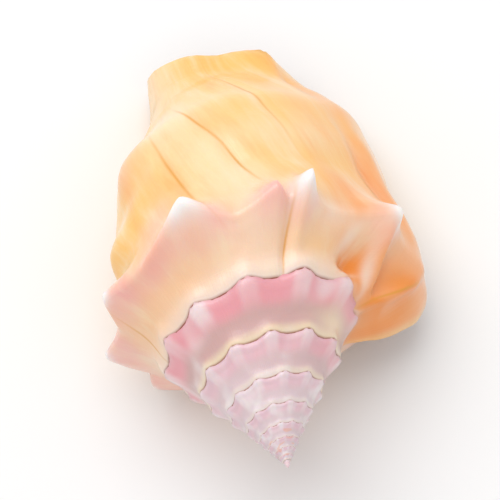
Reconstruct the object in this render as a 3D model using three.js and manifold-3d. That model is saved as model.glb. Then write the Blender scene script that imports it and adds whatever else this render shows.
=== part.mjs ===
// A young conch shell: one hollow, coiled piece with knobs on its shoulder.
import * as THREE from 'three';
import Module from 'manifold-3d';

// Growth: each turn is a larger copy of the one before it.
const RADIAL_GROWTH = 1.465;
const AXIAL_GROWTH = 1.405;
const LIP_AZIMUTH = 118;
const FIRST_TURN = -7.2;
const SOLID_UNTIL = -0.78;

// The outline from the seam to the tip of the canal, in millimetres at the lip's own stage.
// Columns: station, body radius, body reach, lip radius, lip reach.
const OUTLINE = [
  [0.00, 21.4, 34.2, 19.0, 31.6],
  [0.05, 23.9, 36.9, 24.4, 32.4],
  [0.10, 25.3, 39.5, 28.9, 33.1],
  [0.17, 27.6, 42.7, 34.6, 35.5],
  [0.24, 30.6, 46.0, 40.0, 39.1],
  [0.30, 33.6, 49.6, 43.2, 45.5],
  [0.36, 32.2, 56.0, 41.9, 52.8],
  [0.46, 30.0, 67.3, 39.4, 67.3],
  [0.56, 28.7, 80.0, 37.6, 81.9],
  [0.64, 24.6, 89.2, 32.3, 89.6],
  [0.71, 20.0, 96.5, 26.0, 94.6],
  [0.78, 16.3, 102.4, 20.6, 103.7],
  [0.86, 13.5, 110.8, 14.6, 111.5],
  [0.93, 12.2, 119.7, 12.6, 119.7],
  [1.00, 11.5, 128.8, 11.5, 128.8],
];
const SHOULDER = 0.29;

// How far each part of the rim trails behind the lip, in turns.
const RIM_TRAIL = [
  [0.00, 0],
  [0.50, 0],
  [0.58, 0.015],
  [0.65, 0.035],
  [0.71, 0.06],
  [0.78, 0.12],
  [0.86, 0.32],
  [0.93, 0.46],
  [1.00, 0.58],
];

// The lip opens out over this share of the last turn.
const FLARE_START = -0.19;
const FLARE_POWER = 1.6;

// Knobs of the last turn.
// Columns: turns before the lip, height, half width on the older and on the newer side.
const KNOBS = [
  [-0.118, 6.0, 0.030, 0.018],
  [-0.239, 6.8, 0.014, 0.015],
  [-0.272, 4.4, 0.026, 0.010],
  [-0.362, 7.4, 0.036, 0.024],
  [-0.508, 4.2, 0.036, 0.034],
  [-0.616, 6.8, 0.034, 0.034],
  [-0.700, 8.6, 0.032, 0.032],
  [-0.800, 5.6, 0.030, 0.030],
  [-0.885, 4.4, 0.030, 0.030],
  [-0.965, 3.8, 0.030, 0.030],
];
const KNOB_SHARPNESS = 1.4;
const EARLY_KNOBS_PER_TURN = 11.3;
const EARLY_KNOB_HEIGHT = 3.9;
const EARLY_KNOB_SHARPNESS = 1.8;
const EARLY_KNOBS_UNTIL = -1.0;
const KNOB_REACH_RAMP = 0.095;
const KNOB_REACH_SIDE = 0.045;

// Broad folds and hollows of the last turn, in millimetres out from the plain surface.
// Columns: turns, station, height, half width in turns, in stations, slant in turns per station.
const FOLDS = [
  [-0.392, 0.47, 0.8, 0.018, 0.15, -0.21],
  [-0.420, 0.27, 1.3, 0.040, 0.035, 0],
  [-0.300, 0.35, -1.2, 0.030, 0.06, 0],
  [-0.185, 0.30, -1.0, 0.035, 0.05, 0],
  [-0.140, 0.12, -3.2, 0.024, 0.06, 0],
  [-0.110, 0.17, 2.4, 0.010, 0.09, -0.2],
  [-0.088, 0.16, -2.0, 0.012, 0.08, -0.15],
  [-0.064, 0.13, 2.6, 0.010, 0.12, 0.1],
  [-0.036, 0.18, -1.6, 0.016, 0.12, 0],
  [-0.075, 0.42, 1.2, 0.014, 0.12, -0.1],
  [-0.515, 0.44, 2.4, 0.045, 0.035, 0],
  [-0.480, 0.51, -1.0, 0.050, 0.03, 0],
  [-0.457, 0.58, 1.8, 0.035, 0.04, 0],
  [-0.500, 0.37, -1.2, 0.050, 0.04, 0],
  [-0.430, 0.68, -0.8, 0.060, 0.04, 0],
  [-0.230, 0.84, -2.6, 0.055, 0.10, 0],
  [-0.150, 0.78, 1.2, 0.020, 0.06, 0],
  [-0.130, 0.68, -1.2, 0.016, 0.05, 0],
];
const SEAM_REACH = 0.09;
const KNOB_OUT = 0.92;
const KNOB_FORWARD = 0.35;

// Wall thickness, deep inside and at the lip, and the mouth's opening past the lip.
const WALL = 2.2;
const LIP_WALL = 1.5;
const LIP_THINS_FROM = -0.12;
const PAST_THE_LIP = 0.05;
const HOLLOW_CORE = 0.3;
const SOLID_CORE = 0.5;
const CORE_SHARE = 0.25;

// The central pillar. Columns: distance from the tip, radius.
const PILLAR = [
  [0.8, 0],
  [1.2, 0.8],
  [2.6, 1.5],
  [10, 2.6],
  [30, 5],
  [58, 8.4],
  [76, 10],
  [82, 7.0],
  [88, 4.4],
  [93, 2.4],
  [97, 0.8],
  [99, 0],
];
const PILLAR_SIDES = 18;

// The resting position, mouth down.
const REST_PITCH = -19.63;
const REST_ROLL = -2.58;

// Cuts leave edges far shorter than this behind, and they are closed up.
const SHORTEST_EDGE = 0.05;

// The small step used to find which way the surface faces.
const NUDGE = 0.004;

const TURN = Math.PI * 2;

// A smooth step from 0 at the first edge to 1 at the second.
function smoothStep(value, from, to) {
  const t = Math.min(1, Math.max(0, (value - from) / (to - from)));
  return t * t * (3 - 2 * t);
}

// The slope at one station that never overshoots its neighbours.
function slopeAt(rows, column, i) {
  if (i === 0 || i === rows.length - 1) {
    const j = i === 0 ? 0 : i - 1;
    return (rows[j + 1][column] - rows[j][column]) / (rows[j + 1][0] - rows[j][0]);
  }
  const before = (rows[i][column] - rows[i - 1][column]) / (rows[i][0] - rows[i - 1][0]);
  const after = (rows[i + 1][column] - rows[i][column]) / (rows[i + 1][0] - rows[i][0]);
  return before * after <= 0 ? 0 : (2 * before * after) / (before + after);
}

// Reads one column of a table at any station, along a smooth curve.
function readTable(rows, column, station) {
  let i = 0;
  while (i < rows.length - 2 && station > rows[i + 1][0]) i += 1;
  const width = rows[i + 1][0] - rows[i][0];
  const t = (station - rows[i][0]) / width;
  const rise = slopeAt(rows, column, i) * width;
  const fall = slopeAt(rows, column, i + 1) * width;
  if (t > 1) return rows[i + 1][column] + (t - 1) * fall;
  const start = rows[i][column] * (1 + 2 * t) * (1 - t) ** 2 + rise * t * (1 - t) ** 2;
  return start + rows[i + 1][column] * t * t * (3 - 2 * t) + fall * t * t * (t - 1);
}

// Height of the shoulder knobs at one point of growth.
function knobHeight(turns) {
  if (turns < EARLY_KNOBS_UNTIL) {
    const wave = 0.5 + 0.5 * Math.cos(TURN * EARLY_KNOBS_PER_TURN * (turns - KNOBS.at(-1)[0]));
    return EARLY_KNOB_HEIGHT * RADIAL_GROWTH ** turns * wave ** EARLY_KNOB_SHARPNESS;
  }
  const heights = KNOBS.map(([at, height, older, newer]) => {
    const width = turns > at ? newer : older;
    return height * Math.exp(-((Math.abs(turns - at) / width) ** KNOB_SHARPNESS));
  });
  return Math.max(...heights);
}

// How far the folds move the surface at one place.
function foldHeight(turns, station) {
  return FOLDS.reduce((sum, [at, place, height, along, across, slant]) => {
    const offTurns = (turns - at - (station - place) * slant) / along;
    const offStation = (station - place) / across;
    return sum + height * Math.exp(-(offTurns ** 2) - offStation ** 2);
  }, 0);
}

// How strongly the knobs lift the surface at one station.
function knobLift(turns, station) {
  const reach = station > SHOULDER ? KNOB_REACH_SIDE : KNOB_REACH_RAMP;
  const own = knobHeight(turns) * Math.exp(-(((station - SHOULDER) / reach) ** 2));
  const below = knobHeight(turns - 1) * Math.exp(-((station / SEAM_REACH) ** 2));
  return own + below;
}

// Radius, reach and azimuth of the outside at one growth stage and station.
function outside(stage, station) {
  const turns = stage - readTable(RIM_TRAIL, 1, station);
  const flare = smoothStep(stage, FLARE_START, 0) ** FLARE_POWER;
  const read = (column) => readTable(OUTLINE, column, station);
  const radius = read(1) * (1 - flare) + read(3) * flare;
  const reach = read(2) * (1 - flare) + read(4) * flare;
  const lift = knobLift(turns, station);
  return {
    radius: radius * RADIAL_GROWTH ** turns + KNOB_OUT * lift + foldHeight(turns, station),
    reach: reach * AXIAL_GROWTH ** turns + KNOB_FORWARD * lift,
    azimuth: (LIP_AZIMUTH / 360 + turns) * TURN,
  };
}

// A point around the coiling axis, which runs along Y with the tip behind.
function aroundAxis({ radius, reach, azimuth }) {
  return new THREE.Vector3(radius * Math.sin(azimuth), reach, radius * Math.cos(azimuth));
}

// The outside as a point in space.
function outsidePoint(stage, station) {
  return aroundAxis(outside(stage, station));
}

// The direction pointing out of the shell at one place.
function outward(stage, station) {
  const along = outsidePoint(stage + NUDGE, station).sub(outsidePoint(stage - NUDGE, station));
  const low = Math.max(0, station - NUDGE);
  const across = outsidePoint(stage, station + NUDGE).sub(outsidePoint(stage, low));
  return along.cross(across).normalize();
}

// The inside of the wall as a point in space.
function insidePoint(stage, station) {
  const thin = smoothStep(stage, LIP_THINS_FROM, 0);
  const turns = stage - readTable(RIM_TRAIL, 1, station);
  const wall = (WALL * (1 - thin) + LIP_WALL * thin) * RADIAL_GROWTH ** turns;
  return outsidePoint(stage, station).addScaledVector(outward(stage, station), -wall);
}

// The matching point close to the axis, level with an outer point.
function corePoint(point, largest) {
  const radius = Math.hypot(point.x, point.z);
  const scale = Math.min(largest, radius * CORE_SHARE) / radius;
  return new THREE.Vector3(point.x * scale, point.y, point.z * scale);
}

// Evenly spaced numbers, both ends included.
function spread(from, to, count) {
  return Array.from({ length: count + 1 }, (_, i) => from + ((to - from) * i) / count);
}

// A closed solid between an outer sheet of rows and the points near the axis.
function sweptSolid(wasm, stages, stations, outerPoint, coreRadius) {
  const rows = stages.map((stage) => {
    const outer = stations.map((station) => outerPoint(stage, station));
    const inner = outer.map((point) => corePoint(point, coreRadius));
    return [...outer, ...inner.reverse()];
  });
  return loftedSolid(wasm, rows);
}

// Joins closed rings of points into a solid with a cap at each end.
function loftedSolid(wasm, rings) {
  const size = rings[0].length;
  const points = rings.flat();
  const faces = [];
  for (let i = 0; i < rings.length - 1; i += 1) {
    for (let j = 0; j < size; j += 1) {
      const a = i * size + j;
      const b = i * size + ((j + 1) % size);
      faces.push(a, a + size, b + size, a, b + size, b);
    }
  }
  const last = (rings.length - 1) * size;
  for (let j = 0; j < size / 2 - 1; j += 1) {
    const k = size - 1 - j;
    faces.push(j, j + 1, k, j + 1, k - 1, k);
    faces.push(last + j, last + k, last + j + 1, last + j + 1, last + k, last + k - 1);
  }
  return toSolid(wasm, points, faces);
}

// Hands points and faces to the solid joiner.
function toSolid(wasm, points, faces) {
  const vertProperties = new Float32Array(points.flatMap((p) => [p.x, p.y, p.z]));
  const triVerts = new Uint32Array(faces);
  return new wasm.Manifold(new wasm.Mesh({ numProp: 3, vertProperties, triVerts }));
}

// The pillar: a turned solid around the axis.
function pillarSolid(wasm) {
  const middle = PILLAR.slice(1, -1);
  const points = [new THREE.Vector3(0, PILLAR[0][0], 0)];
  for (const [reach, radius] of middle) {
    for (let k = 0; k < PILLAR_SIDES; k += 1) {
      points.push(aroundAxis({ radius, reach, azimuth: (TURN * k) / PILLAR_SIDES }));
    }
  }
  points.push(new THREE.Vector3(0, PILLAR.at(-1)[0], 0));
  return toSolid(wasm, points, pillarFaces(middle.length));
}

// The faces of the pillar: two fans and the bands between them.
function pillarFaces(bands) {
  const faces = [];
  const end = bands * PILLAR_SIDES + 1;
  for (let k = 0; k < PILLAR_SIDES; k += 1) {
    const next = (k + 1) % PILLAR_SIDES;
    faces.push(0, 1 + next, 1 + k);
    for (let i = 0; i < bands - 1; i += 1) {
      const a = 1 + i * PILLAR_SIDES;
      const b = a + PILLAR_SIDES;
      faces.push(a + k, a + next, b + k, a + next, b + next, b + k);
    }
    faces.push(end, end - PILLAR_SIDES + k, end - PILLAR_SIDES + next);
  }
  return faces;
}

// Stations that crowd around the shoulder, where the knobs stand.
const NEW_STATIONS = [
  0, 0.05, 0.11, 0.17, 0.22, 0.26, 0.29, 0.32, 0.37, 0.45, 0.53, 0.59, 0.64, 0.69, 0.74, 0.78, 0.81,
  0.84, 0.88, 0.93, 1,
];
const OLD_STATIONS = [0, 0.05, 0.14, 0.22, 0.29, 0.36, 0.46, 0.57, 0.66, 0.78, 0.9, 1];
const EARLY_STATIONS = OLD_STATIONS.slice(0, 6);
const FIRST_STATIONS = [0, 0.05, 0.18, 0.29, 0.36];
const HOLLOW_STATIONS = [0.07, 0.15, 0.23, 0.29, 0.36, 0.47, 0.57, 0.66, 0.73, 0.8, 0.88, 1, 1.06];

// Stretches of growth. Columns: from, to, rows in a turn, stations.
const NEW_STRETCH = [SOLID_UNTIL - 0.01, 0, 66, NEW_STATIONS];
const HOLLOW_STRETCH = [SOLID_UNTIL - 0.02, PAST_THE_LIP, 46, HOLLOW_STATIONS];
const SOLID_STRETCHES = [
  [-1.8, SOLID_UNTIL, 48, OLD_STATIONS],
  [-3.5, -1.8, 45, EARLY_STATIONS],
  [FIRST_TURN, -3.5, 34, FIRST_STATIONS],
];
const LONGEST_PIECE = 0.3;

// One stretch of growth, cut into short pieces so that none meets itself.
function growth(wasm, [from, to, rowsPerTurn, stations], outerPoint, coreRadius) {
  const ends = spread(from, to, Math.ceil((to - from) / LONGEST_PIECE));
  const pieces = ends.slice(1).map((end, i) => {
    const count = Math.ceil((end - ends[i]) * rowsPerTurn);
    return sweptSolid(wasm, spread(ends[i], end, count), stations, outerPoint, coreRadius);
  });
  return pieces.reduce((whole, piece) => whole.add(piece));
}

// The whole shell as one solid: solid older turns, a hollow last turn and the pillar.
function shellSolid(wasm) {
  const newest = growth(wasm, NEW_STRETCH, outsidePoint, SOLID_CORE);
  const hollow = growth(wasm, HOLLOW_STRETCH, insidePoint, HOLLOW_CORE);
  const older = SOLID_STRETCHES.map((stretch) => growth(wasm, stretch, outsidePoint, SOLID_CORE));
  const open = newest.subtract(hollow);
  return older.reduce((whole, piece) => whole.add(piece), open).add(pillarSolid(wasm));
}

// The points that share an edge with each point.
function neighboursOf(count, faces) {
  const near = Array.from({ length: count }, () => new Set());
  for (const [a, b, c] of faces) {
    near[a].add(b).add(c);
    near[b].add(c).add(a);
    near[c].add(a).add(b);
  }
  return near;
}

// Pairs of points to merge: short edges whose surroundings stay simple.
function shortPairs(points, faces) {
  const near = neighboursOf(points.length, faces);
  const busy = new Set();
  const pairs = new Map();
  for (const [a, b] of faces.flatMap(([i, j, k]) => [[i, j], [j, k], [k, i]])) {
    if (a > b || busy.has(a) || busy.has(b)) continue;
    if (points[a].distanceTo(points[b]) > SHORTEST_EDGE) continue;
    const shared = [...near[a]].filter((k) => near[b].has(k));
    if (shared.length !== 2) continue;
    pairs.set(b, a);
    for (const k of [a, b, ...near[a], ...near[b]]) busy.add(k);
  }
  return pairs;
}

// Closes up every short edge, one round after another.
function closeShortEdges(points, faces) {
  let kept = withoutFolds(faces);
  for (let pairs = shortPairs(points, kept); pairs.size > 0; pairs = shortPairs(points, kept)) {
    const moved = kept.map((face) => face.map((k) => (pairs.has(k) ? pairs.get(k) : k)));
    kept = withoutFolds(moved.filter(([a, b, c]) => a !== b && b !== c && c !== a));
  }
  return kept;
}

// Drops faces folded flat onto one another, which share all three points.
function withoutFolds(faces) {
  const keyOf = (face) => [...face].sort((a, b) => a - b).join();
  const seen = new Map();
  for (const face of faces) seen.set(keyOf(face), (seen.get(keyOf(face)) ?? 0) + 1);
  return faces.filter((face) => seen.get(keyOf(face)) === 1);
}

// Every point that can be reached from the first face over shared edges.
function reachedFrom(start, near) {
  const reached = new Set([start]);
  const waiting = [start];
  while (waiting.length > 0) {
    for (const next of near[waiting.pop()]) {
      if (reached.has(next)) continue;
      reached.add(next);
      waiting.push(next);
    }
  }
  return reached;
}

// Drops the flat scraps that cuts leave beside the one body of the shell.
function mainBody(count, faces) {
  const near = neighboursOf(count, faces);
  let best = [];
  for (let rest = faces; rest.length > best.length; ) {
    const reached = reachedFrom(rest[0][0], near);
    const body = rest.filter(([a]) => reached.has(a));
    if (body.length > best.length) best = body;
    rest = rest.filter(([a]) => !reached.has(a));
  }
  return best;
}

// Turns a finished solid into a drawable geometry.
function toGeometry(solid) {
  const { vertProperties: xyz, triVerts } = solid.getMesh();
  const count = xyz.length / 3;
  const points = Array.from({ length: count }, (_, i) => new THREE.Vector3().fromArray(xyz, i * 3));
  const triples = Array.from({ length: triVerts.length / 3 }, (_, i) => [
    triVerts[i * 3],
    triVerts[i * 3 + 1],
    triVerts[i * 3 + 2],
  ]);
  const geometry = new THREE.BufferGeometry().setFromPoints(points);
  geometry.setIndex(mainBody(count, closeShortEdges(points, triples)).flat());
  return geometry;
}

// Lays the shell mouth down on the ground, centred on the origin.
function layDown(geometry) {
  geometry.rotateY(THREE.MathUtils.degToRad(REST_ROLL));
  geometry.rotateX(THREE.MathUtils.degToRad(REST_PITCH));
  geometry.computeBoundingBox();
  const { min, max } = geometry.boundingBox;
  geometry.translate(-(min.x + max.x) / 2, -(min.y + max.y) / 2, -min.z);
  geometry.computeVertexNormals();
  return geometry;
}

const wasm = await Module();
wasm.setup();

const material = new THREE.MeshStandardMaterial({ color: 0xf2c08a, roughness: 0.35 });
const shell = new THREE.Mesh(layDown(toGeometry(shellSolid(wasm))), material);
shell.name = 'shell';

const conch = new THREE.Group();
conch.name = 'conch_shell';
conch.add(shell);

export default conch;
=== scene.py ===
import math

import bpy
from mathutils import Matrix, Vector


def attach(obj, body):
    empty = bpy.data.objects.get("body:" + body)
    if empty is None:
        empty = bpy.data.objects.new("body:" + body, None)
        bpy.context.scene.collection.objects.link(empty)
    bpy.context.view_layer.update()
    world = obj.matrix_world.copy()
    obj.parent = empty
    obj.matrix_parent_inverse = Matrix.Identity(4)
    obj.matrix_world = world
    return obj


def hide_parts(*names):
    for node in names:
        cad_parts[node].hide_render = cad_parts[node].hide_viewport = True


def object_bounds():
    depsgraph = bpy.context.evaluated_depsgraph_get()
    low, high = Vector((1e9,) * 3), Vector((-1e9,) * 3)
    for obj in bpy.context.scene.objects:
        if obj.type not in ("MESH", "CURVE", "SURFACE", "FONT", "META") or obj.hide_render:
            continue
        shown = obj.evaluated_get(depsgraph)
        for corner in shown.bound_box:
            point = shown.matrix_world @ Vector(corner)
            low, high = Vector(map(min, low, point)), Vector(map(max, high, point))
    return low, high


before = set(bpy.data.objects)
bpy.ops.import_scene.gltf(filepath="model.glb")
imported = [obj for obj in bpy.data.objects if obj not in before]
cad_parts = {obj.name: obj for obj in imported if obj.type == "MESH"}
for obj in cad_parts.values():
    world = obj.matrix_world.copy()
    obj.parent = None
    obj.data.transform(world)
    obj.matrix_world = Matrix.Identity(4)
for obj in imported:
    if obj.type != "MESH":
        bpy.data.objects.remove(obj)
cad_low, cad_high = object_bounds()

# ---------------------------------------------------------------------------
# The shell. A young conch, one piece of shell lime that grew around a coiling
# axis, each turn a larger copy of the one before. The animal laid it down in
# fine growth lines and raised a knob on the shoulder every few weeks.
# ---------------------------------------------------------------------------


class Wire:
    """A node socket that Python's own arithmetic can work on."""

    def __init__(self, socket):
        self.socket = socket
        self.tree = socket.id_data

    @staticmethod
    def make(tree, kind, settings=None, inputs=None):
        """Adds any node: its type, its settings, then the values or links of its sockets."""
        node = tree.nodes.new(kind)
        for name, value in (settings or {}).items():
            if name == "points":
                curve = node.mapping.curves[0]
                for x, y in value[1:-1]:
                    curve.points.new(x, y)
                curve.points[0].location = value[0]
                curve.points[-1].location = value[-1]
                node.mapping.update()
            elif name == "stops":
                ramp = node.color_ramp.elements
                for position, _ in value[2:]:
                    ramp.new(position)
                for stop, (position, color) in zip(ramp, sorted(value)):
                    stop.position = position
                    stop.color = color
            else:
                setattr(node, name, value)
        for key, value in (inputs or {}).items():
            Wire.feed(node.inputs[key], value)
        return node

    @staticmethod
    def feed(socket, value):
        """Links a wire to a socket, or sets the socket to a plain value."""
        if isinstance(value, Wire):
            socket.id_data.links.new(value.socket, socket)
        elif isinstance(value, bpy.types.NodeSocket):
            socket.id_data.links.new(value, socket)
        else:
            socket.default_value = value

    def math(self, operation, *values, clamp=False):
        """One Math node on this wire and the values after it."""
        settings = {"operation": operation, "use_clamp": clamp}
        node = Wire.make(self.tree, "ShaderNodeMath", settings, dict(enumerate((self, *values))))
        return Wire(node.outputs[0])

    def after(self, operation, value):
        """One Math node with a plain number before this wire."""
        settings = {"operation": operation}
        node = Wire.make(self.tree, "ShaderNodeMath", settings, {0: value, 1: self})
        return Wire(node.outputs[0])

    def __add__(self, other):
        return self.math("ADD", other)

    __radd__ = __add__

    def __sub__(self, other):
        return self.math("SUBTRACT", other)

    def __rsub__(self, other):
        return self.after("SUBTRACT", other)

    def __mul__(self, other):
        return self.math("MULTIPLY", other)

    __rmul__ = __mul__

    def __truediv__(self, other):
        return self.math("DIVIDE", other)

    def __rtruediv__(self, other):
        return self.after("DIVIDE", other)

    def __pow__(self, other):
        return self.math("POWER", other)

    def __rpow__(self, other):
        return self.after("POWER", other)

    def __neg__(self):
        return self.math("MULTIPLY", -1.0)

    def __abs__(self):
        return self.math("ABSOLUTE")

    def larger(self, other):
        return self.math("MAXIMUM", other)

    def smaller(self, other):
        return self.math("MINIMUM", other)

    def step(self, start, end):
        """Rises smoothly from 0 at start to 1 at end."""
        inputs = {"Value": self, "From Min": start, "From Max": end}
        settings = {"interpolation_type": "SMOOTHSTEP", "clamp": True}
        node = Wire.make(self.tree, "ShaderNodeMapRange", settings, inputs)
        return Wire(node.outputs["Result"])

    def bell(self, centre, width, power=2.0):
        """1 at the centre, falling away over the width on both sides."""
        return math.e ** -((abs(self - centre) / width) ** power)

    def toward(self, other, share):
        """This value mixed with another by a share from 0 to 1."""
        return self + (other - self) * share

    def noise(self, across, scale, detail=2.0, roughness=0.5):
        """Soft noise from 0 to 1 over this value and the one across it."""
        vector = Wire.make(self.tree, "ShaderNodeCombineXYZ", None, {"X": self, "Y": across})
        inputs = {"Vector": vector.outputs[0], "Scale": scale, "Detail": detail, "Roughness": roughness}
        return Wire(Wire.make(self.tree, "ShaderNodeTexNoise", None, inputs).outputs[0])


# The shell's proportions, in millimetres along and across the coiling axis.
NOMINAL_LENGTH = 98.69
unit = (cad_high[1] - cad_low[1]) / NOMINAL_LENGTH
RADIAL_GROWTH = 1.465
AXIAL_GROWTH = 1.405
LIP_AZIMUTH = 118
FIRST_TURN = -8.6
HOLLOW_FROM = -0.8
REST_PITCH = -19.63
REST_ROLL = -2.58
# The lip flares over the last part of a turn, and its wall thins to a rounded edge.
FLARE_FROM = -0.19
FLARE_CURVE = 1.6
WALL = 2.2
LIP_WALL = 1.3
THINS_FROM = -0.12
LIP_ROUNDING = 300.0
# An early turn is filled in to this share of its radius.
FILLED_TO = 0.2

# The outline from the seam to the tip of the canal, as the lip laid it down.
# Columns: station, body radius, body reach, lip radius, lip reach.
OUTLINE = (
    (0.00, 22.7, 35.3, 19.4, 31.0),
    (0.03, 22.9, 35.6, 19.7, 31.1),
    (0.05, 23.9, 36.9, 24.0, 32.2),
    (0.10, 25.3, 39.5, 28.9, 33.1),
    (0.17, 27.6, 42.7, 34.6, 35.5),
    (0.24, 30.6, 46.0, 40.0, 39.1),
    (0.30, 33.6, 49.6, 43.2, 45.5),
    (0.36, 32.2, 56.0, 41.9, 52.8),
    (0.46, 30.0, 67.3, 39.4, 67.3),
    (0.56, 28.7, 80.0, 37.6, 81.9),
    (0.64, 24.6, 89.2, 32.3, 89.6),
    (0.71, 20.0, 96.5, 26.0, 94.6),
    (0.78, 16.3, 102.4, 20.6, 103.7),
    (0.86, 13.5, 110.8, 14.6, 111.5),
    (0.93, 12.2, 119.7, 12.6, 119.7),
    (1.00, 11.5, 128.8, 11.5, 128.8),
)
LARGEST_RADIUS = 50
LARGEST_REACH = 140
# Each turn is laid on the one before, just past the older turn's shoulder.
SHOULDER = 0.29
SEAM_LIES_AT = 0.31
# The rounded edge of the seam starts a dip below the surface and rises by the roll, in millimetres.
SEAM_DIP = 0.62
SEAM_ROLL = 1.0
SEAM_RISES = (0.0, 0.012)
SEAM_FADES = (0.02, 0.12)
# By here, a turn's own unevenness has taken over from that of the turn it lies on.
SEAM_BLENDS = (0.0, 0.1)
# How far the rim trails behind the lip toward the canal. Columns: station, turns.
RIM_TRAIL = (
    (0.00, 0.0),
    (0.50, 0.0),
    (0.58, 0.015),
    (0.65, 0.035),
    (0.71, 0.06),
    (0.78, 0.12),
    (0.86, 0.32),
    (0.93, 0.46),
    (1.00, 0.58),
)
# Knobs of the last turn: turns before the lip, height, half width on the older and newer side.
KNOBS = (
    (-0.118, 5.6, 0.028, 0.016),
    (-0.239, 7.6, 0.013, 0.014),
    (-0.270, 5.2, 0.026, 0.010),
    (-0.362, 8.2, 0.036, 0.024),
    (-0.508, 5.0, 0.036, 0.034),
    (-0.616, 7.6, 0.034, 0.034),
    (-0.700, 9.2, 0.032, 0.032),
    (-0.800, 6.2, 0.030, 0.030),
    (-0.885, 5.0, 0.030, 0.030),
    (-0.965, 4.4, 0.030, 0.030),
)
KNOB_SHARPNESS = 1.4
KNOB_REACH_SIDE = 0.045
KNOB_RAMP_EXTRA = 0.05
# A knob leans outward and a little toward the canal.
KNOB_OUTWARD = 0.92
KNOB_ALONG = 0.35
# Folds and hollows of the last turn, in millimetres above or below the plain surface.
# Columns: turns, station, height, half width in turns, in stations, slant in turns per station.
FOLDS = (
    (-0.374, 0.45, -0.80, 0.009, 0.17, -0.21),
    (-0.392, 0.47, 0.80, 0.018, 0.15, -0.21),
    (-0.335, 0.57, -0.60, 0.009, 0.09, -0.35),
    (-0.295, 0.44, -0.70, 0.009, 0.07, -0.26),
    (-0.250, 0.64, -0.60, 0.010, 0.15, -0.19),
    (-0.256, 0.16, -1.00, 0.006, 0.13, 0.04),
    (-0.240, 0.19, 0.80, 0.008, 0.10, 0.00),
    (-0.262, 0.27, 0.80, 0.006, 0.04, 0.00),
    (-0.420, 0.27, 1.30, 0.040, 0.035, 0.00),
    (-0.300, 0.35, -1.20, 0.030, 0.06, 0.00),
    (-0.185, 0.30, -1.00, 0.035, 0.05, 0.00),
    (-0.140, 0.12, -3.20, 0.024, 0.06, 0.00),
    (-0.110, 0.17, 2.40, 0.010, 0.09, -0.20),
    (-0.088, 0.16, -2.00, 0.012, 0.08, -0.15),
    (-0.064, 0.13, 2.60, 0.010, 0.12, 0.10),
    (-0.036, 0.18, -1.60, 0.016, 0.12, 0.00),
    (-0.075, 0.42, 1.20, 0.014, 0.12, -0.10),
    (-0.100, 0.44, -0.80, 0.012, 0.12, -0.10),
    (-0.515, 0.44, 2.40, 0.045, 0.035, 0.00),
    (-0.480, 0.51, -1.00, 0.050, 0.03, 0.00),
    (-0.457, 0.58, 1.80, 0.035, 0.04, 0.00),
    (-0.500, 0.37, -1.20, 0.050, 0.04, 0.00),
    (-0.430, 0.68, -0.80, 0.060, 0.04, 0.00),
    (-0.230, 0.84, -2.60, 0.055, 0.10, 0.00),
    (-0.150, 0.78, 1.20, 0.020, 0.06, 0.00),
    (-0.130, 0.68, -1.20, 0.016, 0.05, 0.00),
)
# Low ridges and troughs that grow up as the last turn begins. Columns: station, height, half width.
RIDGES = (
    (0.300, -1.00, 0.035),
    (0.425, -0.35, 0.030),
    (0.495, 0.45, 0.030),
    (0.560, -0.30, 0.025),
    (0.610, 0.40, 0.028),
)
RIDGES_BEGIN = (-1.0, -0.8)
LAST_TURN_FROM = -1.0
EARLY_KNOBS_PER_TURN = 11.3
EARLY_KNOB_HEIGHT = 3.9
EARLY_KNOB_SHARPNESS = 1.8
# Where an older knob lifts the seam of the next turn, and by how much of its height.
SEAM_LIFT_WIDTH = 0.09
SEAM_LIFT = 0.85
# Gentle unevenness: its height in millimetres, and how fine it is along and across the growth.
UNEVENNESS = 1.2
UNEVEN_ALONG = 11.0
UNEVEN_ACROSS = 0.5
# The pillar in the middle. Columns: reach from its foot, radius.
PILLAR = (
    (0.0, 0.0),
    (0.6, 0.45),
    (2.0, 0.8),
    (10, 2.6),
    (30, 5.0),
    (58, 8.4),
    (76, 9.0),
    (82, 6.6),
    (88, 4.4),
    (93, 2.4),
    (97, 0.8),
    (99, 0.0),
)
PILLAR_WIDEST = 10
PILLAR_FOOT = 0.6
# The pillar's tip takes its colours from the turns around it, counted from its reach.
TIP_OFFSET = 3.0
TIP_TURNS = 11.0
TIP_STATION = 0.2
PILLAR_STATION = 0.6
TIP_ENDS = (8, 16)
PILLAR_GOES_INSIDE = (20, 40)


def read_curve(station, rows, column, largest):
    """A drawn curve through one column of a table, read at a station."""
    points = [(row[0] / rows[-1][0], row[column] / largest) for row in rows]
    node = Wire.make(station.tree, "ShaderNodeFloatCurve", {"points": points}, {"Value": station})
    return Wire(node.outputs[0]) * largest


def early_knobs(turns):
    """Height of the even row of knobs on the turns of the spire."""
    wave = ((turns - KNOBS[-1][0]) * (math.tau * EARLY_KNOBS_PER_TURN)).math("COSINE") * 0.5 + 0.5
    return wave ** EARLY_KNOB_SHARPNESS * RADIAL_GROWTH ** turns * EARLY_KNOB_HEIGHT


def knob_height(turns):
    """Height of the shoulder knobs, in millimetres, along the growth of the shell."""
    late = turns * 0.0
    for at, height, older, newer in KNOBS:
        newer_side = turns.math("GREATER_THAN", at)
        width = newer_side * (newer - older) + older
        late = late.larger(turns.bell(at, width, KNOB_SHARPNESS) * height)
    return early_knobs(turns).toward(late, turns.math("GREATER_THAN", LAST_TURN_FROM))


def spot(turns, station, at, place, along, across, slant=0.0):
    """1 at one place on the shell, falling away along and across its growth."""
    off_turns = (turns - at - (station - place) * slant) / along
    off_station = (station - place) / across
    return math.e ** -(off_turns * off_turns + off_station * off_station)


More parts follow.
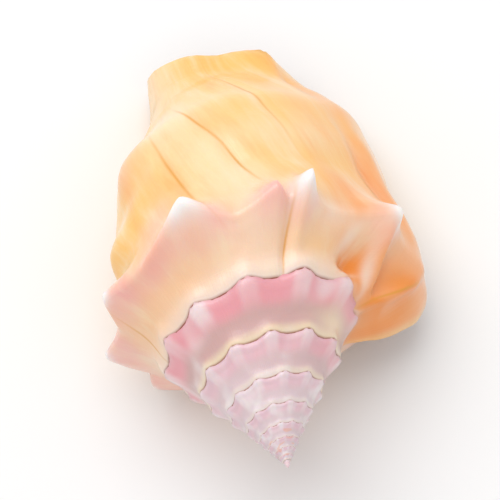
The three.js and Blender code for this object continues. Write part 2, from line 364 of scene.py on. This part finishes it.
def relief(turns, station):
    """The folds, ridges and gentle unevenness of the surface, in millimetres."""
    own = turns.noise(station * UNEVEN_ACROSS, UNEVEN_ALONG)
    below = (turns - 1.0).noise(SEAM_LIES_AT * UNEVEN_ACROSS, UNEVEN_ALONG) * (1.0 / RADIAL_GROWTH)
    rise = below.toward(own, station.step(*SEAM_BLENDS)) - 0.5
    total = rise * RADIAL_GROWTH ** turns * UNEVENNESS
    for at, place, height, along, across, slant in FOLDS:
        total = total + spot(turns, station, at, place, along, across, slant) * height
    grown_up = turns.step(*RIDGES_BEGIN)
    for place, height, width in RIDGES:
        total = total + station.bell(place, width) * grown_up * height
    return total


def lip_outline(station, column, largest, flare):
    """The outline of a turn, drawn toward the flared lip's own outline by the flare."""
    body = read_curve(station, OUTLINE, column, largest)
    return body.toward(read_curve(station, OUTLINE, column + 2, largest), flare)


def grow(stage, station):
    """Radius, reach, azimuth, turns and own knob of the outside of the shell."""
    turns = stage - read_curve(station, RIM_TRAIL, 1, 1.0)
    flare = stage.step(FLARE_FROM, 0.0) ** FLARE_CURVE
    radius = lip_outline(station, 1, LARGEST_RADIUS, flare)
    reach = lip_outline(station, 2, LARGEST_REACH, flare)
    ramp_side = station.math("LESS_THAN", SHOULDER)
    knob = knob_height(turns) * station.bell(SHOULDER, ramp_side * KNOB_RAMP_EXTRA + KNOB_REACH_SIDE)
    lift = knob + early_knobs(turns - 1) * station.bell(0.0, SEAM_LIFT_WIDTH) * SEAM_LIFT
    seam = (station.step(*SEAM_RISES) * SEAM_ROLL - SEAM_DIP) * (1.0 - station.step(*SEAM_FADES))
    lift = lift + seam * RADIAL_GROWTH ** turns
    radius = radius * RADIAL_GROWTH ** turns + lift * KNOB_OUTWARD + relief(turns, station)
    reach = reach * AXIAL_GROWTH ** turns + lift * KNOB_ALONG
    azimuth = turns * math.tau + math.radians(LIP_AZIMUTH)
    return radius, reach, azimuth, turns, knob


def vector(tree, x, y, z):
    """Three values as one vector."""
    return Wire(Wire.make(tree, "ShaderNodeCombineXYZ", None, {"X": x, "Y": y, "Z": z}).outputs[0])


def split(tree, socket):
    """The three values of a vector."""
    return [Wire(part) for part in Wire.make(tree, "ShaderNodeSeparateXYZ", None, {0: socket}).outputs]


def own_place(tree):
    """Where each point of a mesh stands, as three values."""
    return split(tree, Wire.make(tree, "GeometryNodeInputPosition").outputs[0])


def around_axis(radius, reach, azimuth):
    """A point around the coiling axis, which runs along Y."""
    return vector(radius.tree, radius * azimuth.math("SINE"), reach, radius * azimuth.math("COSINE"))


def store(geometry, name, value):
    """Keeps a value on the surface for its finish to read."""
    settings = {"data_type": "FLOAT", "domain": "POINT"}
    inputs = {"Geometry": geometry, "Name": name, "Value": value}
    return Wire(Wire.make(geometry.tree, "GeometryNodeStoreNamedAttribute", settings, inputs).outputs[0])


def move_points(geometry, **inputs):
    """Moves the points of a mesh."""
    inputs = {key.title(): value for key, value in inputs.items()}
    node = Wire.make(geometry.tree, "GeometryNodeSetPosition", None, {"Geometry": geometry, **inputs})
    return Wire(node.outputs[0])


def hollow_wall(mesh, stage, turns, inner):
    """Draws the inner layer of a stretch inward by the wall, which rounds off at the lip's edge."""
    thinning = stage.step(THINS_FROM, 0.0) * (WALL - LIP_WALL)
    wall = (WALL - thinning) * RADIAL_GROWTH ** turns
    edge = (-stage * LIP_ROUNDING).smaller(1.0)
    round_edge = (1.0 - (1.0 - edge) ** 2.0).larger(0.0) ** 0.5
    normal = Wire.make(mesh.tree, "GeometryNodeInputNormal").outputs[0]
    inputs = {0: normal, "Scale": wall * round_edge * inner}
    inward = Wire.make(mesh.tree, "ShaderNodeVectorMath", {"operation": "SCALE"}, inputs)
    return move_points(mesh, offset=Wire(inward.outputs[0]))


def stretch_of_growth(tree, rows, stations, stage_of, station_of, hollow):
    """One closed stretch of shell: a hollow one has a wall, an early one is filled to the axis."""
    inputs = {"Size": (1, 1, 1), "Vertices X": rows, "Vertices Y": stations, "Vertices Z": 2}
    mesh = Wire(Wire.make(tree, "GeometryNodeMeshCube", None, inputs).outputs["Mesh"])
    along, across, layer = own_place(tree)
    stage = stage_of(along + 0.5)
    station = station_of(across + 0.5, stage)
    for name, value in (("stage", stage), ("station", station), ("inner", 0.5 - layer)):
        mesh = store(mesh, name, value)
    stage, station, inner = (read_attribute(tree, name) for name in ("stage", "station", "inner"))
    radius, reach, azimuth, turns, knob = grow(stage, station)
    mesh = store(mesh, "turns", turns)
    mesh = store(mesh, "knob", knob)
    mesh = move_points(mesh, position=around_axis(radius, reach, azimuth))
    if hollow:
        return hollow_wall(mesh, stage, turns, inner)
    filled = around_axis(radius * FILLED_TO, reach, azimuth)
    return move_points(mesh, selection=inner, position=filled)


def read_attribute(tree, name):
    """A value kept on the surface, read back inside the same tree."""
    settings = {"data_type": "FLOAT"}
    node = Wire.make(tree, "GeometryNodeInputNamedAttribute", settings, {"Name": name})
    return Wire(node.outputs["Attribute"])


def pillar(tree, sides, rings):
    """The pillar that the shell coils around, with the rounded tip of the spire."""
    inputs = {"Vertices": sides, "Side Segments": rings, "Radius": 1.0, "Depth": 1.0}
    node = Wire.make(tree, "GeometryNodeMeshCylinder", {"fill_type": "TRIANGLE_FAN"}, inputs)
    mesh = Wire(node.outputs["Mesh"])
    x, y, z = own_place(tree)
    # Rings crowd toward the tip of the spire, where the pillar is thinnest.
    share = (z + 0.5) ** 2.0
    reach = share * PILLAR[-1][0]
    radius = read_curve(share, PILLAR, 1, PILLAR_WIDEST)
    station = reach.step(*TIP_ENDS) * (PILLAR_STATION - TIP_STATION) + TIP_STATION
    mesh = store(mesh, "station", station)
    mesh = store(mesh, "inner", reach.step(*PILLAR_GOES_INSIDE))
    mesh = store(mesh, "turns", (reach + TIP_OFFSET).math("LOGARITHM", AXIAL_GROWTH) - TIP_TURNS)
    return move_points(mesh, position=vector(tree, -x * radius, reach + PILLAR_FOOT, y * radius))


tree = bpy.data.node_groups.new("shell_growth", "GeometryNodeTree")
tree.is_modifier = True
tree.interface.new_socket("Geometry", in_out="OUTPUT", socket_type="NodeSocketGeometry")
tree_inputs = {}
for name, kind, default in (
    ("Unit", "NodeSocketFloat", unit),
    ("Rows", "NodeSocketInt", 260),
    ("Stations", "NodeSocketInt", 100),
    ("Early rows", "NodeSocketInt", 400),
    ("Early stations", "NodeSocketInt", 40),
    ("Pillar sides", "NodeSocketInt", 40),
    ("Pillar rings", "NodeSocketInt", 70),
    ("Rest pitch", "NodeSocketFloat", math.radians(REST_PITCH)),
    ("Rest roll", "NodeSocketFloat", math.radians(REST_ROLL)),
):
    socket = tree.interface.new_socket(name, in_out="INPUT", socket_type=kind)
    socket.default_value = default
    tree_inputs[name] = (socket.identifier, default)
entry = Wire.make(tree, "NodeGroupInput")
given = {name: Wire(entry.outputs[name]) for name in tree_inputs}

# Rows of points crowd toward the lip, and thin out by a fixed ratio with each early turn.
LIP_CROWDING = 1.3
EARLY_SPACING = 1.16
# An early turn only has the part of its outline that the next turn leaves bare.
BARE_STATIONS = 0.36
BARE_BEFORE = (-2.4, -1.7)
first_row, last_row = EARLY_SPACING ** FIRST_TURN, EARLY_SPACING ** HOLLOW_FROM
newest = stretch_of_growth(
    tree,
    given["Rows"],
    given["Stations"],
    lambda share: (1.0 - share) ** LIP_CROWDING * HOLLOW_FROM,
    lambda share, stage: share,
    True,
)
oldest = stretch_of_growth(
    tree,
    given["Early rows"],
    given["Early stations"],
    lambda share: (share * (last_row - first_row) + first_row).math("LOGARITHM", EARLY_SPACING),
    lambda share, stage: share * (stage.step(*BARE_BEFORE) * (1.0 - BARE_STATIONS) + BARE_STATIONS),
    False,
)
middle = pillar(tree, given["Pillar sides"], given["Pillar rings"])
join = Wire.make(tree, "GeometryNodeJoinGeometry")
for part in (middle, oldest, newest):
    Wire.feed(join.inputs[0], part)
body = Wire(join.outputs[0])


def turn(geometry, **inputs):
    """Turns, moves or scales the whole mesh."""
    inputs = {key.title(): value for key, value in inputs.items()}
    node = Wire.make(geometry.tree, "GeometryNodeTransform", None, {"Geometry": geometry, **inputs})
    return Wire(node.outputs["Geometry"])


# The shell lies mouth down, as it comes to rest on a table.
body = turn(body, rotation=vector(tree, 0.0, given["Rest roll"], 0.0))
body = turn(body, rotation=vector(tree, given["Rest pitch"], 0.0, 0.0))
body = turn(body, scale=vector(tree, given["Unit"], given["Unit"], given["Unit"]))
bounds = Wire.make(tree, "GeometryNodeBoundBox", None, {"Geometry": body})
low, high = (split(tree, bounds.outputs[corner]) for corner in ("Min", "Max"))
centring = [(low[i] + high[i]) * -0.5 + (cad_low[i] + cad_high[i]) / 2 for i in (0, 1)]
body = turn(body, translation=vector(tree, *centring, cad_low[2] - low[2]))

shell_finish = bpy.data.materials.new("polished_shell")
shell_finish.use_nodes = True

smooth = Wire.make(tree, "GeometryNodeSetShadeSmooth", {"domain": "FACE"}, {"Geometry": body})
# The stretches of growth meet end to end, and only the rings where they meet stay sharp.
SAME_STAGE = 0.0005
meeting = abs(read_attribute(tree, "stage") - HOLLOW_FROM).math("LESS_THAN", SAME_STAGE)
inputs = {"Geometry": smooth.outputs[0], "Selection": meeting, "Shade Smooth": False}
smooth = Wire.make(tree, "GeometryNodeSetShadeSmooth", {"domain": "EDGE"}, inputs)
# The lip's edge closes to one line, and each end of the pillar to one point.
inputs = {"Geometry": smooth.outputs[0], "Distance": 1e-6}
closed = Wire.make(tree, "GeometryNodeMergeByDistance", None, inputs)
real = Wire.make(tree, "GeometryNodeRealizeInstances", None, {"Geometry": closed.outputs[0]})
inputs = {"Geometry": real.outputs[0], "Material": shell_finish}
dressed = Wire.make(tree, "GeometryNodeSetMaterial", None, inputs)
Wire.make(tree, "NodeGroupOutput", None, {0: dressed.outputs[0]})

seed = bpy.data.objects.new("shell_seed", bpy.data.meshes.new("shell_seed"))
bpy.context.collection.objects.link(seed)
growth = seed.modifiers.new("growth", "NODES")
growth.node_group = tree
for identifier, value in tree_inputs.values():
    growth[identifier] = value
evaluated = seed.evaluated_get(bpy.context.evaluated_depsgraph_get())
shell = bpy.data.objects.new("conch_shell", bpy.data.meshes.new_from_object(evaluated))
bpy.context.collection.objects.link(shell)
bpy.data.objects.remove(seed)

surface = shell_finish.node_tree
surface.nodes.clear()


def kept(name):
    """A value kept on the surface as the shell grew."""
    return Wire(Wire.make(surface, "ShaderNodeAttribute", {"attribute_name": name}).outputs["Fac"])


def tint(under, color, share):
    """One colour laid over another by a share."""
    under, color = (shade if isinstance(shade, Wire) else (*shade, 1.0) for shade in (under, color))
    inputs = {0: share, 6: under, 7: color}
    return Wire(Wire.make(surface, "ShaderNodeMix", {"data_type": "RGBA"}, inputs).outputs[2])


station, knob, inner, turns = (kept(name) for name in ("station", "knob", "inner", "turns"))
# Growth lines run square to the turns on the ramp and lean past the shoulder.
LEANS_FROM = 0.3
LEAN = 0.21
slanted = turns + (station - LEANS_FROM).larger(0.0) * LEAN
# How fast each pattern changes along the turns and across the stations.
FLAME_GRAIN = (2.2, 0.35)
CLOUD_GRAIN = (9.0, 3.0)
FRECKLE_GRAIN = (9.0, 9.0)
LINE_GRAIN = (40.0, 0.6)
THREAD_GRAIN = (1.5, 60.0)


def grained(along, pattern, scale, detail, roughness=0.5):
    """Soft noise from 0 to 1 that follows the growth of the shell."""
    return (along * pattern[0]).noise(station * pattern[1], scale, detail, roughness)



WHITE = (0.95, 0.88, 0.86)
BLUSH = (0.95, 0.71, 0.58)
CREAM = (0.95, 0.74, 0.50)
PEACH = (0.95, 0.54, 0.29)
YELLOW = (0.95, 0.53, 0.14)
ORANGE = (0.93, 0.28, 0.025)
ROSE = (0.95, 0.40, 0.38)
PINK = (0.85, 0.35, 0.39)
MAUVE = (0.63, 0.38, 0.36)
LILAC = (0.82, 0.70, 0.76)
LINE = (0.34, 0.07, 0.03)
CREASE = (0.75, 0.32, 0.03)
# Patches of colour on the last turn. Columns: turns, station, half width in turns,
# half width in stations, slant in turns per station, colour, strength.
PATCHES = (
    (-0.31, 0.40, 0.060, 0.10, -0.2, CREAM, 0.70),
    (-0.37, 0.58, 0.060, 0.10, -0.2, CREAM, 0.85),
    (-0.45, 0.86, 0.100, 0.12, -0.2, CREAM, 0.60),
    (-0.19, 0.49, 0.060, 0.045, 0.0, CREAM, 0.50),
    (-0.30, 0.50, 0.070, 0.040, 0.0, CREAM, 0.40),
    (-0.47, 0.42, 0.060, 0.13, 0.0, YELLOW, 0.55),
    (-0.46, 0.57, 0.030, 0.05, 0.0, ROSE, 0.50),
    (-0.09, 0.42, 0.026, 0.13, -0.1, ORANGE, 1.00),
    (-0.16, 0.36, 0.050, 0.05, 0.0, ORANGE, 0.65),
    (-0.22, 0.37, 0.030, 0.05, 0.0, YELLOW, 0.60),
    (-0.06, 0.50, 0.012, 0.10, 0.0, BLUSH, 0.70),
    (-0.13, 0.13, 0.040, 0.09, 0.0, ORANGE, 1.00),
    (-0.07, 0.06, 0.050, 0.07, 0.0, ORANGE, 1.00),
    (-0.06, 0.18, 0.035, 0.08, 0.0, ORANGE, 0.95),
    (-0.02, 0.13, 0.035, 0.14, 0.0, ORANGE, 0.85),
    (-0.01, 0.05, 0.030, 0.06, 0.0, ORANGE, 0.90),
    (-0.004, 0.18, 0.008, 0.20, 0.0, YELLOW, 0.60),
    (-0.16, 0.20, 0.010, 0.06, 0.1, BLUSH, 0.70),
    (-0.11, 0.12, 0.006, 0.08, -0.2, BLUSH, 0.75),
    (-0.14, 0.07, 0.008, 0.03, 0.6, BLUSH, 0.75),
    (-0.272, 0.29, 0.020, 0.05, 0.0, ROSE, 0.90),
    (-0.41, 0.37, 0.030, 0.06, 0.0, ROSE, 0.45),
    (-0.155, 0.30, 0.016, 0.04, 0.0, ORANGE, 0.60),
    (-0.30, 0.22, 0.050, 0.10, 0.0, BLUSH, 0.45),
    (-0.20, 0.27, 0.040, 0.04, 0.0, BLUSH, 0.50),
    (-0.21, 0.14, 0.040, 0.06, 0.0, YELLOW, 0.35),
    (-0.42, 0.14, 0.060, 0.08, 0.0, PEACH, 0.60),
    (-0.51, 0.13, 0.050, 0.09, 0.0, PEACH, 0.90),
    (-0.335, 0.26, 0.016, 0.05, 0.0, ROSE, 0.60),
    (-0.43, 0.25, 0.040, 0.05, 0.0, ROSE, 0.65),
    (-0.10, 0.62, 0.050, 0.12, -0.1, ORANGE, 0.60),
    (-0.49, 0.27, 0.026, 0.06, 0.0, PINK, 0.70),
    (-0.59, 0.27, 0.035, 0.09, 0.0, PINK, 0.85),
    (-0.69, 0.27, 0.035, 0.09, 0.0, ROSE, 0.90),
    (-0.70, 0.24, 0.050, 0.08, 0.0, ORANGE, 0.30),
    (-0.55, 0.20, 0.030, 0.10, 0.0, PEACH, 0.60),
)
# Painted white highlights on the tips of the knobs. Columns: turns, station, half width in turns, in
# stations.
TIP_HIGHLIGHTS = (
    (-0.239, 0.290, 0.012, 0.045),
    (-0.365, 0.285, 0.018, 0.035),
    (-0.118, 0.285, 0.011, 0.030),
    (-0.508, 0.290, 0.010, 0.025),
    (-0.616, 0.290, 0.012, 0.030),
    (-0.700, 0.290, 0.012, 0.030),
    (-0.800, 0.290, 0.012, 0.030),
)
# Thin dark creases. Columns: turns, station, half width in turns, in stations, slant.
CREASES = (
    (-0.374, 0.45, 0.0022, 0.13, -0.21),
    (-0.335, 0.57, 0.0020, 0.08, -0.35),
    (-0.295, 0.44, 0.0020, 0.06, -0.26),
    (-0.250, 0.64, 0.0022, 0.13, -0.19),
    (-0.256, 0.14, 0.0018, 0.12, 0.04),
    (-0.540, 0.13, 0.0022, 0.10, 0.10),
    (-0.066, 0.14, 0.0020, 0.09, 0.15),
)

# The last turn: pale by the seam, peach up the ramp and yellow past the shoulder.
ramp_color = tint(WHITE, BLUSH, station.step(0.0, 0.05) * 0.75 + 0.25)
ramp_color = tint(ramp_color, PEACH, station.step(0.03, 0.17) * 0.68)
last_turn = tint(ramp_color, YELLOW, station.step(0.26, 0.42))
for at, place, along, across, slant, color, strength in PATCHES:
    last_turn = tint(last_turn, color, spot(turns, station, at, place, along, across, slant) * strength)
# Soft flames of orange and cream run with the growth lines.
flames = grained(slanted, FLAME_GRAIN, 9.0, 4.0, 0.6)
last_turn = tint(last_turn, ORANGE, flames.step(0.48, 0.75) * station.step(0.1, 0.4) * 0.38)
pale_flames = (1.0 - flames).step(0.45, 0.75) * (0.65 - turns.step(-0.16, -0.06) * 0.45)
last_turn = tint(last_turn, CREAM, pale_flames)
# Knobs blush, two faint bands go round as painted light and shade on the ribs, and the tips of the knobs
# get a painted white highlight.
last_turn = tint(last_turn, ROSE, knob.step(0.6, 3.0) * 0.3)
# A deeper yellow band is painted shade in the trough at station 0.55, and a cream band is a painted
# highlight on the ridge at 0.61.
last_turn = tint(last_turn, YELLOW, station.bell(0.55, 0.04) * 0.3)
last_turn = tint(last_turn, CREAM, station.bell(0.61, 0.05) * 0.25)
# Painted white highlights on the tips of the knobs.
for at, place, along, across in TIP_HIGHLIGHTS:
    last_turn = tint(last_turn, WHITE, spot(turns, station, at, place, along, across) * 1.3)
for at, place, along, across, slant in CREASES:
    last_turn = tint(last_turn, CREASE, spot(turns, station, at, place, along, across, slant) * 0.8)

# The spire: cream by the seam, mauve on the ramp, pink on the shoulder, lilac toward the tip.
spire = tint(CREAM, MAUVE, station.step(0.02, 0.10))
spire = tint(spire, PINK, station.step(0.15, 0.24))
spire = tint(spire, LILAC, (1.0 - turns.step(-2.6, -1.8)) * 0.55)
cloud = grained(turns, CLOUD_GRAIN, 1.0, 2.0)
spire = tint(spire, WHITE, cloud.step(0.48, 0.72) * 0.5)
bumps = early_knobs(turns) / (RADIAL_GROWTH ** turns * EARLY_KNOB_HEIGHT)
spire = tint(spire, WHITE, bumps.step(0.25, 0.9) * station.bell(0.27, 0.07) * (cloud * 0.9 - 0.05))
spire = tint(spire, CREAM, spot(turns, station, -1.12, 0.12, 0.06, 0.08) * 0.8)
freckles = grained(turns, FRECKLE_GRAIN, 1.0, 0.0)
spire = tint(spire, ORANGE, freckles.step(0.64, 0.74) * (1.0 - turns.step(-5.2, -4.6)) * 0.3)

# The suture is a thin dark line that fades at the tip and at the lip, and the inside is peach.
SPIRE_ENDS = (-1.03, -0.97)
SUTURE_EDGE = (0.022, 0.040)
color = tint(spire, last_turn, turns.step(*SPIRE_ENDS))
fades = turns.step(-8.0, -6.0) * (1.0 - turns.step(-0.22, -0.10))
suture = (1.0 - station.step(*SUTURE_EDGE)) * fades
color = tint(color, LINE, suture)
color = tint(color, PEACH, inner.step(0.3, 0.7))
# What the next turn lays over the one before takes the colour of the inside.
glaze = station.step(0.34, 0.38) * (1.0 - turns.step(-1.0, -0.95))
color = tint(color, PEACH, glaze)

# Fine growth lines and finer threads round the turns.
lines = grained(slanted, LINE_GRAIN, 8.0, 3.0, 0.6)
threads = grained(slanted, THREAD_GRAIN, 4.0, 2.0)
inputs = {"Strength": 0.35, "Distance": 0.0004, "Height": lines * 0.7 + threads * 0.3}
bump = Wire.make(surface, "ShaderNodeBump", None, inputs)
shader = Wire.make(
    surface,
    "ShaderNodeBsdfPrincipled",
    None,
    {
        "Base Color": color,
        "Roughness": 0.30,
        "Normal": bump.outputs[0],
        "Subsurface Weight": 0.15,
        "Subsurface Radius": (0.006, 0.003, 0.0015),
        "Subsurface Scale": 1.0,
        "Coat Weight": 0.35,
        "Coat Roughness": 0.12,
    },
)
Wire.make(surface, "ShaderNodeOutputMaterial", None, {0: shader.outputs[0]})

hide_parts("shell")
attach(shell, "root")

# ---------------------------------------------------------------------------
# The studio: a plain pale floor, soft light from a large panel overhead and a
# camera that looks down on the back of the shell, spire nearest.
# ---------------------------------------------------------------------------
floor = bpy.data.objects.new("floor", bpy.data.meshes.new("floor"))
FLOOR_HALF = 3
corners = [(x * FLOOR_HALF, y * FLOOR_HALF, 0) for x, y in ((-1, -1), (1, -1), (1, 1), (-1, 1))]
floor.data.from_pydata(corners, [], [(0, 1, 2, 3)])
bpy.context.collection.objects.link(floor)
floor_paint = bpy.data.materials.new("pale_floor")
floor_paint.use_nodes = True
floor_sockets = floor_paint.node_tree.nodes["Principled BSDF"].inputs
floor_sockets["Base Color"].default_value = (0.9, 0.9, 0.9, 1)
floor_sockets["Roughness"].default_value = 0.8
floor.data.materials.append(floor_paint)

world = bpy.data.worlds.new("studio")
world.use_nodes = True
world_light = world.node_tree.nodes["Background"].inputs
world_light["Color"].default_value = (1, 1, 1, 1)
world_light["Strength"].default_value = 0.72
bpy.context.scene.world = world
bpy.context.scene.view_settings.view_transform = "Standard"

rest = Matrix.Rotation(math.radians(REST_PITCH), 3, "X") @ Matrix.Rotation(math.radians(REST_ROLL), 3, "Y")
# The shell's own frame: the tip of the spire is the point furthest towards -Y.
tip = min((vertex.co for vertex in shell.data.vertices), key=lambda point: point.y)
tip_place = Vector(tip) - rest @ Vector((0, PILLAR_FOOT * unit, 0))
CAMERA_TILT = math.radians(35.33)
CAMERA_YAW = math.radians(-0.52)
CAMERA_ROLL = math.radians(-14.6)
CAMERA_DISTANCE = 487.8 * unit
CAMERA_LENS = 165.4
AIM_ACROSS = 3.56 * unit
AIM_ALONG = 54.36 * unit
aim = tip_place + rest @ Vector((AIM_ACROSS, AIM_ALONG, 0))
back = Vector(
    (
        math.sin(CAMERA_YAW) * math.cos(CAMERA_TILT),
        -math.sin(CAMERA_TILT),
        math.cos(CAMERA_YAW) * math.cos(CAMERA_TILT),
    )
)
right = Vector((0, 1, 0)).cross(back).normalized()
up = back.cross(right)
side = right * math.cos(CAMERA_ROLL) + up * math.sin(CAMERA_ROLL)
top = up * math.cos(CAMERA_ROLL) - right * math.sin(CAMERA_ROLL)
turned = [rest @ axis for axis in (side, top, back)]
camera = bpy.data.objects.new("camera", bpy.data.cameras.new("camera"))
camera.data.lens = CAMERA_LENS
camera.data.sensor_width = 36
camera.matrix_world = Matrix(turned).transposed().to_4x4()
camera.location = aim + turned[2] * CAMERA_DISTANCE
bpy.context.collection.objects.link(camera)
bpy.context.scene.camera = camera


def panel(name, place, width, power, target):
    """A large soft light panel that faces a point."""
    light = bpy.data.lights.new(name, "AREA")
    light.shape = "DISK"
    light.size = width
    light.energy = power
    lamp = bpy.data.objects.new(name, light)
    lamp.location = place
    lamp.rotation_euler = (Vector(target) - Vector(place)).to_track_quat("-Z", "Y").to_euler()
    bpy.context.collection.objects.link(lamp)


panel("overhead_panel", (-0.1, 0.35, 0.8), 0.9, 4.4, (0, 0, 0.03))
